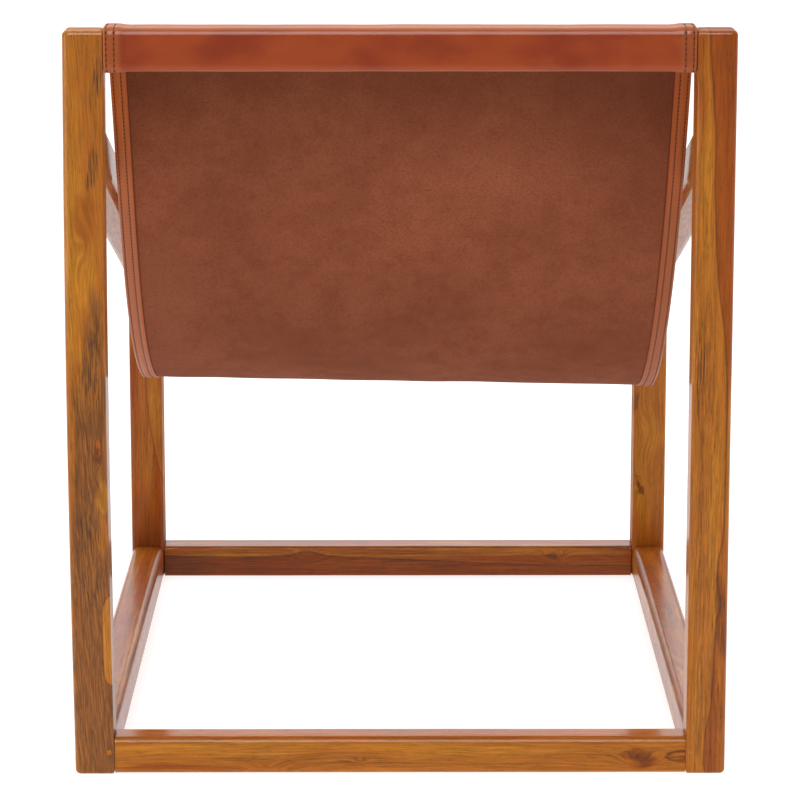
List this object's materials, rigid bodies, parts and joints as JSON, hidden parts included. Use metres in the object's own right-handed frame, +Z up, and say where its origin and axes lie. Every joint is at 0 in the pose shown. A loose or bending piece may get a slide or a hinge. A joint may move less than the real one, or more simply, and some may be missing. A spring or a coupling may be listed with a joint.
{
  "type": "sling lounge chair",
  "caption": "Low lounge chair: a trapezoid hardwood frame with one hide of leather slung from a top bar to a front bar as back and seat.",
  "frame": {"origin": "on the floor, under the centre of the bounding box", "axes": "+Z up, the sitter faces -Y, +X is the sitter's left"},
  "size_m": [0.66, 0.8592, 0.7591],
  "materials": {
    "teak": "clear glossy lacquer over oiled golden brown teak",
    "teak_dark": "clear glossy lacquer over teak with darker streaks",
    "pin_wood": "paler end grain under the same lacquer",
    "leather": "chestnut hide, smooth and softly glossy on the grain side, matt on the flesh side"
  },
  "bodies": {
    "root": {"left_rear_post": "teak_dark", "right_rear_post": "teak_dark", "left_front_post": "teak", "left_bottom_rail": "teak", "left_arm_rail": "teak", "right_front_post": "teak", "right_bottom_rail": "teak", "right_arm_rail": "teak", "rear_bottom_rail": "teak", "front_bottom_rail": "teak", "top_sling_bar": "teak", "front_sling_bar": "teak", "leather_sling": "leather", "left_rear_rail_pin": "pin_wood", "left_front_rail_pin": "pin_wood", "left_top_bar_pin": "pin_wood", "left_front_bar_pin": "pin_wood", "left_bottom_rail_rear_pin": "pin_wood", "left_bottom_rail_front_pin": "pin_wood", "left_arm_rear_pin": "pin_wood", "left_arm_front_pin": "pin_wood", "right_rear_rail_pin": "pin_wood", "right_front_rail_pin": "pin_wood", "right_top_bar_pin": "pin_wood", "right_front_bar_pin": "pin_wood", "right_bottom_rail_rear_pin": "pin_wood", "right_bottom_rail_front_pin": "pin_wood", "right_arm_rear_pin": "pin_wood", "right_arm_front_pin": "pin_wood"}
  },
  "joints": []
}
